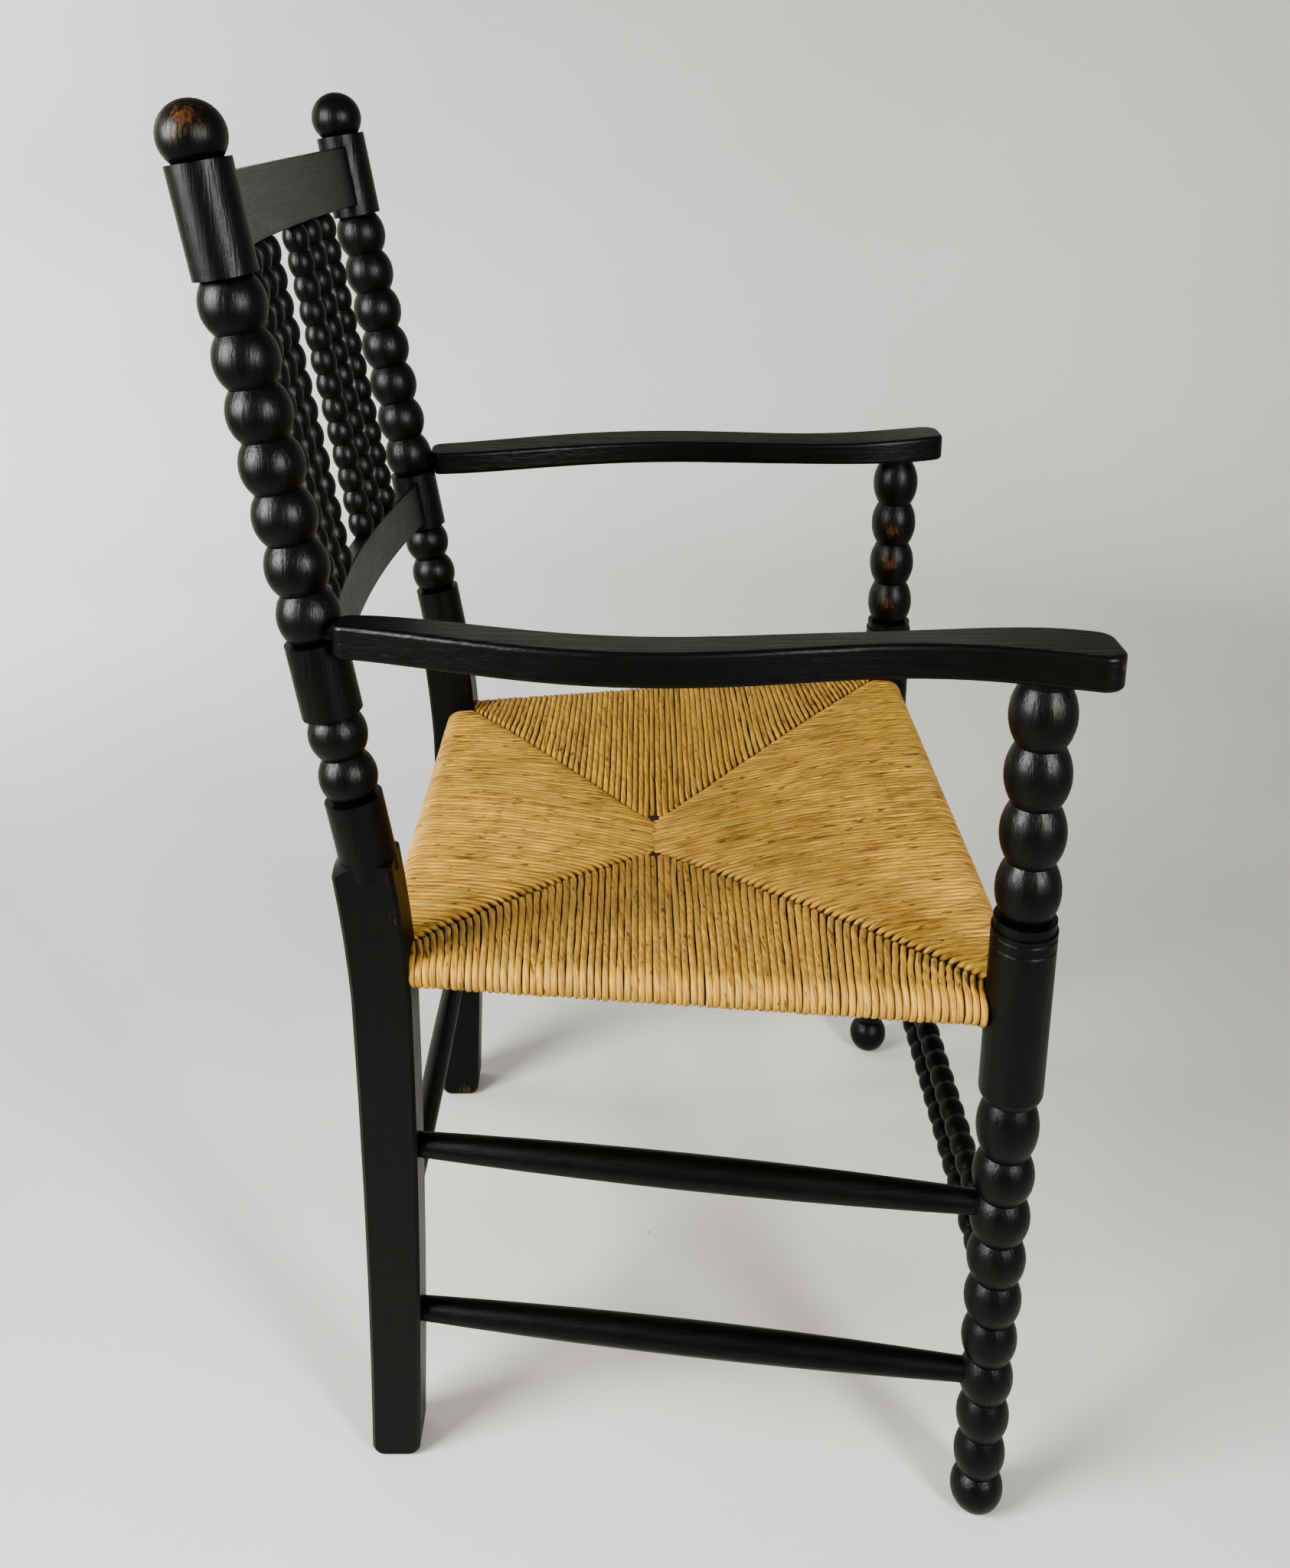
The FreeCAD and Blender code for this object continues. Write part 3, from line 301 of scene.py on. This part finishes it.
def woven_rush():
    """Twisted rush: fibres that wind round each cord, painted shade in the grooves, and each cord's own tone.

    The cord map gives metres along and turns round a cord. The strand attribute gives its tone in red
    and in blue how dark the painted shade in the grooves beside it is: the darker this is, the calmer its
    streaks.
    """
    material, tree, shader = new_material("rush")
    cord = node(tree, "SeparateXYZ", {"Vector": node(tree, "UVMap", uv_map="cord").outputs["UV"]})
    strand = node(tree, "Attribute", attribute_name="strand")
    tone = node(tree, "SeparateColor", {"Color": strand.outputs["Color"]})
    along, around = cord.outputs["X"], cord.outputs["Y"]
    wound = math_node(tree, "ADD", around, math_node(tree, "MULTIPLY", along, 9.0))
    own = math_node(tree, "MULTIPLY", tone.outputs["Red"], 41.0)

    def fibres(round_scale, along_scale, detail):
        """Noise drawn out along the winding fibres of the cord."""
        drawn = node(tree, "CombineXYZ", {"X": math_node(tree, "MULTIPLY", wound, round_scale),
                                          "Y": math_node(tree, "MULTIPLY", along, along_scale), "Z": own})
        return noise(tree, drawn.outputs[0], 1.0, detail, 0.6)

    streak = fibres(11.0, 26.0, 5.0)
    slit = spread(tree, fibres(5.0, 70.0, 2.0), 0.635, 0.685)
    uneven = math_node(tree, "SUBTRACT", streak, 0.5)
    lively = math_node(tree, "SUBTRACT", 1.02, math_node(tree, "MULTIPLY", tone.outputs["Blue"], 0.44))
    patch = noise(tree, node(tree, "TexCoord").outputs["Object"], 26.0, 3.0, 0.6)
    level = math_node(tree, "ADD", math_node(tree, "ADD", math_node(tree, "MULTIPLY", uneven, lively), 0.405),
                      math_node(tree, "ADD", math_node(tree, "MULTIPLY", tone.outputs["Red"], 0.04),
                                math_node(tree, "MULTIPLY", patch, 0.18)))
    gold = ramp(tree, level, [(0.37, (0.150, 0.078, 0.022)), (0.47, (0.325, 0.190, 0.050)),
                              (0.55, (0.422, 0.255, 0.058)), (0.67, (0.570, 0.376, 0.094))])
    faded = spread(tree, fibres(1.5, 11.0, 2.0), 0.52, 0.68)
    straw = mix(tree, math_node(tree, "MULTIPLY", faded, 0.55), gold, (0.33, 0.245, 0.084))
    turn = math_node(tree, "MULTIPLY", around, 2 * math.pi)
    side = math_node(tree, "ABSOLUTE", math_node(tree, "COSINE", turn))
    plies = math_node(tree, "ADD", around, math_node(tree, "MULTIPLY", along, 38.0))
    lumps = math_node(tree, "SINE", math_node(tree, "MULTIPLY", plies, 4 * math.pi))
    # Painted shade: each cord's sides, where it meets its neighbours, go over to the dark gap colour as
    # strongly as the strand's blue says; the slits are marks in the rush itself.
    groove = spread(tree, math_node(tree, "ADD", side, math_node(tree, "MULTIPLY", lumps, 0.05)), 0.76, 0.97)
    groove_shade = math_node(tree, "MULTIPLY", groove, tone.outputs["Blue"])
    dark = math_node(tree, "MAXIMUM", groove_shade, math_node(tree, "MULTIPLY", slit, 0.85))
    tree.links.new(mix(tree, dark, straw, (0.092, 0.043, 0.014)), shader.inputs["Base Color"])
    shader.inputs["Roughness"].default_value = 0.52
    shader.inputs["Specular IOR Level"].default_value = 0.3
    ridges = math_node(tree, "ADD", streak, math_node(tree, "MULTIPLY", lumps, 0.22))
    bump = node(tree, "Bump", {"Height": ridges, "Strength": 0.65, "Distance": 0.0012})
    tree.links.new(bump.outputs[0], shader.inputs["Normal"])
    return material


def stuffing_in_painted_shade():
    """Loose rush packed between the two layers of cords, coloured near-black as painted shade of the closed
    space inside the seat.
    """
    material, tree, shader = new_material("rush_stuffing")
    straw = noise(tree, node(tree, "TexCoord").outputs["Object"], 160.0, 4.0, 0.6)
    # Near-black ramp: painted shade of the stuffing inside the seat, not the rush's own colour.
    tree.links.new(ramp(tree, straw, [(0.3, (0.014, 0.006, 0.002)), (0.7, (0.055, 0.028, 0.010))]),
                   shader.inputs["Base Color"])
    shader.inputs["Roughness"].default_value = 0.85
    return material


# Woven seat
def smooth_step(x):
    """0 below 0, 1 above 1, a smooth cubic between."""
    x = np.clip(x, 0, 1)
    return x * x * (3 - 2 * x)


def seat_level(y):
    """Height of the rails' axes, straight from the front rail to the back rail."""
    share = (y - FRONT_RAIL[1]) / (BACK_RAIL[1] - FRONT_RAIL[1])
    return FRONT_RAIL[2] + (BACK_RAIL[2] - FRONT_RAIL[2]) * share


def cord_path(run, sink, crown, tuck):
    """Side view of the cords of a panel, as (inwards, up) from each rail's axis for cords of given runs.

    From its hidden end a cord comes up at the seam, runs outwards, goes half round the rail, pressed
    tighter below, and comes back underneath. On top it lies below the rail's crown by the seam's depth
    times the share of the way in, raised to the crown power, so a high power makes a fuller panel. It
    goes on by the lap past the seam and dips by the tuck there, under the neighbouring panel. run is the
    plan distance from rail axis to seam, and sink the seam's place from 0 at the corner to 1 at the ridge.
    """
    run, sink, tuck = run[:, None], sink[:, None], tuck[:, None]
    depth, belly = SEAT_SAG * sink ** SAG_POWER, SEAT_BELLY * sink ** SAG_POWER
    length = run + SEAM_LAP
    inside = length * (1 - np.linspace(0, 1, TOP_STEPS) ** STEP_CROWDING)[None, :]
    top = WRAP_RADIUS - depth * np.minimum(inside / run, 1) ** crown
    top = top - tuck * smooth_step((inside - run + SEAM_EASE) / (SEAM_LAP + SEAM_EASE))
    turn = np.linspace(0, np.pi, TURN_STEPS)[None, 1:-1]
    wrap_in = np.repeat(-np.sin(turn) * WRAP_RADIUS, len(run), 0)
    radius = np.where(turn < np.pi / 2, WRAP_RADIUS, UNDER_RADIUS)
    wrap_up = np.repeat(np.cos(turn) * radius, len(run), 0)
    beneath = length * np.linspace(0, 1, UNDER_STEPS)[None, :]
    under = -UNDER_RADIUS - belly * np.minimum(beneath / run, 1)
    under = under + tuck * smooth_step((beneath - run + SEAM_EASE) / (SEAM_LAP + SEAM_EASE))
    return np.concatenate([inside, wrap_in, beneath], 1), np.concatenate([top, wrap_up, under], 1)


def cord_tubes(centre, aside, width, half_high):
    """Tubes round centre lines (cord, step, 3): a slightly squared oval of width by cord height.

    aside is the constant direction across the cords; the oval's other axis is square to it and the path.
    The ovals at both ends are drawn in to a point.
    """
    tangent = np.gradient(centre, axis=1)
    tangent /= np.linalg.norm(tangent, axis=2, keepdims=True)
    normal = np.cross(tangent, aside)
    normal /= np.linalg.norm(normal, axis=2, keepdims=True)
    angle = np.linspace(0, 2 * np.pi, CORD_SIDES, endpoint=False)
    lift = np.sign(np.sin(angle)) * np.abs(np.sin(angle)) ** CORD_SQUARENESS
    tip = np.ones(centre.shape[1])
    tip[[0, -1]] = CORD_TIP
    sideways = aside * (np.cos(angle)[:, None] * width[..., None, None] / 2)
    upwards = normal[:, :, None, :] * lift[:, None] * half_high
    return centre[:, :, None, :] + tip[None, :, None, None] * (sideways + upwards)


def tube_faces(cords, steps):
    """Quads of cord tubes: (cord, step, side) joins the next step and the next side."""
    index = np.arange(cords * steps * CORD_SIDES).reshape(cords, steps, CORD_SIDES)
    here, ahead = index[:, :-1], index[:, 1:]
    return np.stack([here, np.roll(here, -1, 2), np.roll(ahead, -1, 2), ahead], -1)


def wobble(count, steps, size):
    """Small sideways waves, three sines of random size and phase for each cord."""
    waves = rng.normal(0, 1, (count, 3))[:, :, None] * np.sin(
        np.linspace(0, 1, steps)[None, None, :] * WAVE_COUNTS[None, :, None]
        + rng.uniform(0, 6.3, (count, 3))[:, :, None])
    return waves.sum(1) * size


def rush_panel(name, rail_start, rail_end, out_way, seam, material, *,
               crown, lean, hook, ridge_share, parting, fullness, groove):
    """One panel of cords, side by side along a rail.

    rail_start and rail_end are plan points and out_way the plan direction from seat to rail.
    seam(place) gives the seam's distance along out_way and its sink for a place across the cords.
    crown shapes the fall of the cords, as cord_path says. On its way in, a cord leans to the middle by
    lean times the way it has gone, or from the middle if lean is negative, and at the seam it turns
    outwards by hook, both less near the middle. A cord is fullness times as wide as the space between
    its neighbours. ridge_share is the share of the tuck that is left out where the cord ends on the
    ridge, parting the way the two middle cords move apart there, and groove how dark the painted shade in the
    gaps is.
    """
    rail_start, rail_end, out_way = (np.array(v, float) for v in (rail_start, rail_end, out_way))
    aside = np.array([abs(out_way[1]), abs(out_way[0]), 0.0])
    middle = RIDGE_Y * aside[1]
    count = int(round(abs(((rail_end - rail_start) * aside[:2]).sum()) / CORD_PITCH))
    share = (np.arange(count) + 0.5) / count
    feet = rail_start + (rail_end - rail_start) * share[:, None]
    across, reach = feet @ aside[:2], feet @ out_way
    outwards = np.clip((across - middle) / HOOK_SPAN, -1, 1)
    leaning = lean * np.sign(across - middle) * np.clip(np.abs(across - middle) / LEAN_SPAN, 0, 1) ** 2
    shift = np.zeros(count)
    for _ in range(6):
        seam_reach, sink = seam(across + shift)
        run = np.maximum(reach - seam_reach, SHORTEST_RUN)
        shift = outwards * hook * np.minimum(run / SHORT_RUN, 1) - leaning * run
    tuck = SEAM_TUCK * (1 - ridge_share * smooth_step((sink - RIDGE_START) / RIDGE_FADE))
    inwards, up = cord_path(run, sink, crown, tuck)
    steps = inwards.shape[1]
    near_seam = np.exp(-np.maximum(run[:, None] - np.maximum(inwards, 0), 0) / HOOK_FADE)
    hooked = (outwards * hook * np.minimum(run / SHORT_RUN, 1))[:, None] * near_seam
    along = across[:, None] + hooked - leaning[:, None] * np.maximum(inwards, 0)
    apart = across - middle
    along = along + (parting * np.sign(apart) * np.exp(-np.abs(apart) / PARTING_FADE))[:, None] * np.clip(
        inwards / run[:, None], 0, 1) ** 2
    width = np.abs(np.gradient(along, axis=0)) * fullness * (1 + WIDTH_CHANGE * rng.normal(0, 1, (count, 1)))
    along = along + wobble(count, steps, WAVE_SIZE)
    centre = np.zeros((count, steps, 3))
    centre[:, :, :2] = (along[:, :, None] * aside[:2]
                        + (reach[:, None] - inwards)[:, :, None] * out_way)
    centre[:, :, 2] = seat_level(centre[:, :, 1]) + up + HEIGHT_CHANGE * rng.normal(0, 1, (count, 1))
    points = cord_tubes(centre, aside, width, CORD_HALF_HIGH)
    faces = tube_faces(count, steps)
    piece = mesh_piece(name, points, faces, material)
    paint_cords(piece, centre, groove)
    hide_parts("rush_seat")


def paint_cords(piece, centre, groove):
    """UV map of metres along and turns round each cord, and a strand attribute for each cord.

    Its red is the cord's tone, its green a second tone that is spare, and its blue the strength of the
    painted shade in the grooves.
    """
    count, steps = centre.shape[:2]
    walked = np.linalg.norm(np.diff(centre, axis=1), axis=2).cumsum(1)
    walked = np.concatenate([np.zeros((count, 1)), walked], 1)
    here = np.repeat(walked[:, :-1, None], CORD_SIDES, 2)
    ahead = np.repeat(walked[:, 1:, None], CORD_SIDES, 2)
    first = np.broadcast_to(np.arange(CORD_SIDES) / CORD_SIDES, here.shape)
    second = first + 1 / CORD_SIDES
    uv = np.stack([np.stack([here, first], -1), np.stack([here, second], -1),
                   np.stack([ahead, second], -1), np.stack([ahead, first], -1)], -2)
    layer = piece.data.uv_layers.new(name="cord")
    layer.data.foreach_set("uv", uv.astype(np.float32).ravel())
    own = np.stack([rng.uniform(0, 1, count), rng.uniform(0, 1, count),
                    np.full(count, groove), np.ones(count)], 1)
    attribute = piece.data.attributes.new("strand", "FLOAT_COLOR", "POINT")
    attribute.data.foreach_set("color", np.repeat(own, steps * CORD_SIDES, 0).astype(np.float32).ravel())


def side_seam(place):
    """Seam X and sink of a side panel at each Y.

    The seam runs straight from each corner to the ridge tip, less a small round-edged hole there.
    """
    ahead = place < RIDGE_Y
    corner_x = np.where(ahead, FRONT_CORNER[0], BACK_CORNER[0])
    corner_y = np.where(ahead, FRONT_CORNER[1], BACK_CORNER[1])
    sink = np.clip((place - corner_y) / (RIDGE_Y - corner_y), 0, 1)
    hole = RIDGE_HOLE * np.exp(-((place - RIDGE_Y) / RIDGE_HOLE_SPAN) ** 2)
    return corner_x + (RIDGE_HALF - corner_x) * sink + hole, sink


def end_seam(corner, way):
    """Seam place along a Y way and sink at each X, for the front or back panel with the given corner."""
    def seam(place):
        """Straight from each corner to the ridge's end, and level along the ridge."""
        sink = np.clip((corner[0] - np.abs(place)) / (corner[0] - RIDGE_HALF), 0, 1)
        return way * (corner[1] + (RIDGE_Y - corner[1]) * sink), sink
    return seam


def between(start, end, y):
    """Plan point on the line from start to end at a given Y."""
    return start + (end - start) * (y - start[1]) / (end[1] - start[1])


def stuffing():
    """Closed flat body under the cords: rings round the ridge, out over the top and back underneath.

    A ring at a share of the way out is the seat's outline drawn in towards the middle. It lies halfway
    between the two layers of cords and is as thick as the space between them, less a gap on each side.
    """
    rings, side_points, middle_share, fall_power = 14, 24, 0.004, 1.2
    corners = np.array([FRONT_CORNER, BACK_CORNER, BACK_CORNER * [-1, 1], FRONT_CORNER * [-1, 1]])
    step = np.linspace(0, 1, side_points, endpoint=False)[None, :, None]
    outline = (corners[:, None] * (1 - step) + np.roll(corners, -1, 0)[:, None] * step).reshape(-1, 2)
    way_out = np.linspace(middle_share, 1, rings)
    way_back = np.linspace(1, middle_share, rings)[1:]
    share = np.concatenate([way_out, way_back])[:, None]
    plan = np.array([0, RIDGE_Y]) + (outline - [0, RIDGE_Y]) * share[:, :, None]
    fall = (1 - share) ** fall_power
    over, below = WRAP_RADIUS - SEAT_SAG * fall, -UNDER_RADIUS - SEAT_BELLY * fall
    half = np.maximum((over - below) / 2 - CORD_HALF_HIGH - STUFFING_GAP, STUFFING_THINNEST)
    up = (over + below) / 2 + np.where(np.arange(len(share))[:, None] < rings - 1, half, -half)
    points = np.concatenate([plan, (seat_level(plan[:, :, 1]) + up)[:, :, None]], 2)
    mesh_piece("rush_stuffing", points, ring_faces(points), stuffing_in_painted_shade())


# Panels of cords; groove is the strength of the painted shade in the gaps between cords, stronger on the side
# panels.
rush = woven_rush()
for label, side in (("left", 1), ("right", -1)):
    mirror = np.array([side, 1])
    rail_front = between(FRONT_LEG, BACK_POST, FRONT_LEG[1] + LEG_RADIUS) * mirror
    rail_back = between(FRONT_LEG, BACK_POST, BACK_POST[1] - POST_HALF_DEEP + POST_LAP) * mirror
    rush_panel("rush_panel_" + label, rail_front, rail_back, (side, 0), side_seam, rush,
               crown=1.2, lean=-0.15, hook=0.002, ridge_share=0.5, parting=0.0010, fullness=1.08, groove=0.95)
front_half = FRONT_LEG[0] - LEG_RADIUS
back_half = BACK_POST[0] - POST_HALF_WIDE
END_PANEL = dict(crown=1.7, lean=0.0, hook=0.005, ridge_share=0.9, parting=0.0, fullness=1.16, groove=0.45)
rush_panel("rush_panel_front", (-front_half, FRONT_RAIL[1]), (front_half, FRONT_RAIL[1]), (0, -1),
           end_seam(FRONT_CORNER, -1), rush, **END_PANEL)
rush_panel("rush_panel_back", (-back_half, BACK_RAIL[1]), (back_half, BACK_RAIL[1]), (0, 1),
           end_seam(BACK_CORNER, 1), rush, **END_PANEL)
stuffing()

# Wood finishes of the CAD pieces; each rubbed spot is a centre, a radius and a cover
GRAIN_UP = (1.0, 1.0, 0.03)
GRAIN_ALONG_Y = (0.65, 0.02, 0.65)
GRAIN_ACROSS = (0.02, 1.0, 1.0)
upright_black = ebonised("ebonised_upright", GRAIN_UP, [
    ((-0.2265, 0.2577, 0.9795), 0.020, 0.42),
    ((0.2476, -0.2352, 0.5907), 0.015, 0.42),
    ((0.2481, -0.2332, 0.5577), 0.015, 0.46),
    ((0.2489, -0.2315, 0.5193), 0.015, 0.42),
    ((-0.2200, 0.1672, 0.5000), 0.022, 0.24),
    ((-0.2240, 0.1662, 0.4700), 0.022, 0.22),
    ((0.1910, 0.1874, 0.0060), 0.016, 0.40)], gloss=0.30)
lengthwise_black = ebonised("ebonised_lengthwise", GRAIN_ALONG_Y, [
    ((-0.2930, -0.2760, 0.6740), 0.007, 0.45)], grain_depth=1.0)
crosswise_black = ebonised("ebonised_crosswise", GRAIN_ACROSS)
back_rail_black = ebonised("ebonised_back_rails", GRAIN_ACROSS, gloss=0.55, grain_depth=0.40)
rail_wood = plain_rail_wood()

FINISHES = {"back_post": upright_black, "front_leg": upright_black, "spindle": upright_black,
            "arm": lengthwise_black, "side_stretcher": lengthwise_black,
            "front_stretcher": crosswise_black, "back_stretcher": crosswise_black,
            "crest_rail": back_rail_black, "lower_back_rail": back_rail_black,
            "seat_rail": rail_wood, "rush_seat": rush}
for name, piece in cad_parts.items():
    finish = next(FINISHES[start] for start in FINISHES if name.startswith(start))
    piece.material_slots[0].material = finish


# Floor, light and camera
def pale_floor():
    """Round sheet: flat in the middle, then a quarter circle up into a wall, turned about Z."""
    bend, flat, wall = 0.8, 1.9, 2.4
    curve = np.linspace(0, np.pi / 2, 24)[1:]
    level = np.concatenate([[0.001], np.linspace(0.2, flat, 12)])
    radius = np.concatenate([level, flat + bend * np.sin(curve), [flat + bend]])
    height = np.concatenate([np.zeros(len(level)), bend - bend * np.cos(curve), [bend + wall]])
    turn = np.linspace(0, 2 * np.pi, 96, endpoint=False)
    points = np.stack([radius[:, None] * np.cos(turn), radius[:, None] * np.sin(turn),
                       np.repeat(height[:, None], len(turn), 1)], -1)
    material, tree, shader = new_material("pale_paper")
    place = node(tree, "TexCoord").outputs["Object"]
    paper = ramp(tree, noise(tree, place, 1.5, 3.0), [(0.3, (0.58, 0.575, 0.56)), (0.7, (0.61, 0.605, 0.59))])
    tree.links.new(paper, shader.inputs["Base Color"])
    shader.inputs["Roughness"].default_value = 0.8
    smooth_mesh("pale_floor", points, ring_faces(points), material)


def soft_box(name, place, aim, width, height, power, spread_angle, colour):
    """Rectangular area light at a place, facing the aim, with its spread in degrees."""
    lamp = bpy.data.lights.new(name, "AREA")
    lamp.shape = "RECTANGLE"
    lamp.size, lamp.size_y = width, height
    lamp.energy = power
    lamp.spread = math.radians(spread_angle)
    lamp.color = colour
    holder = bpy.data.objects.new(name, lamp)
    holder.location = place
    holder.rotation_euler = (Vector(aim) - Vector(place)).to_track_quat("-Z", "Y").to_euler()
    holder.visible_camera = False
    bpy.context.scene.collection.objects.link(holder)


def photo_camera():
    """Camera of the photograph: place and turn fitted to the chair, shift for the low framing."""
    yaw, pitch, roll = -0.0020, 0.3141, -0.0042
    place = (-1.0760, FRONT_LEG[1] + 0.2414, 0.9966)
    ahead = Vector((math.cos(pitch) * math.cos(yaw), math.cos(pitch) * math.sin(yaw), -math.sin(pitch)))
    right = ahead.cross(Vector((0, 0, 1))).normalized()
    up = right.cross(ahead)
    tilted_right = math.cos(roll) * right + math.sin(roll) * up
    tilted_up = math.cos(roll) * up - math.sin(roll) * right
    lens = bpy.data.cameras.new("photo_camera")
    lens.lens = 33.55
    lens.sensor_width = 36.0
    lens.shift_y = -0.145
    lens.clip_start = 0.01
    holder = bpy.data.objects.new("photo_camera", lens)
    turn = Matrix((tilted_right, tilted_up, -ahead)).transposed()
    holder.matrix_world = Matrix.Translation(place) @ turn.to_4x4()
    bpy.context.scene.collection.objects.link(holder)
    bpy.context.scene.camera = holder


def room_light():
    """Even pale light from all round."""
    world = bpy.data.worlds.new("room")
    world.use_nodes = True
    sky = world.node_tree.nodes["Background"]
    sky.inputs["Color"].default_value = (1.0, 0.975, 0.935, 1.0)
    sky.inputs["Strength"].default_value = 0.31
    bpy.context.scene.world = world


pale_floor()
room_light()
soft_box("window_left", (-1.0, 1.45, 1.22), (-0.40, 0.1, 0.65), 0.90, 1.05, 26.5, 110, (1.0, 0.99, 0.975))
soft_box("window_right", (-1.6, -1.1, 1.25), (0, 0.1, 0.75), 0.42, 0.95, 15.0, 110, (1.0, 0.985, 0.96))
soft_box("backdrop_light", (1.0, 2.4, 1.8), (2.4, 1.4, 0.5), 1.2, 1.2, 64.0, 125, (1.0, 0.99, 0.98))
photo_camera()
bpy.context.scene.view_settings.view_transform = "AgX"
bpy.context.scene.view_settings.look = "AgX - High Contrast"
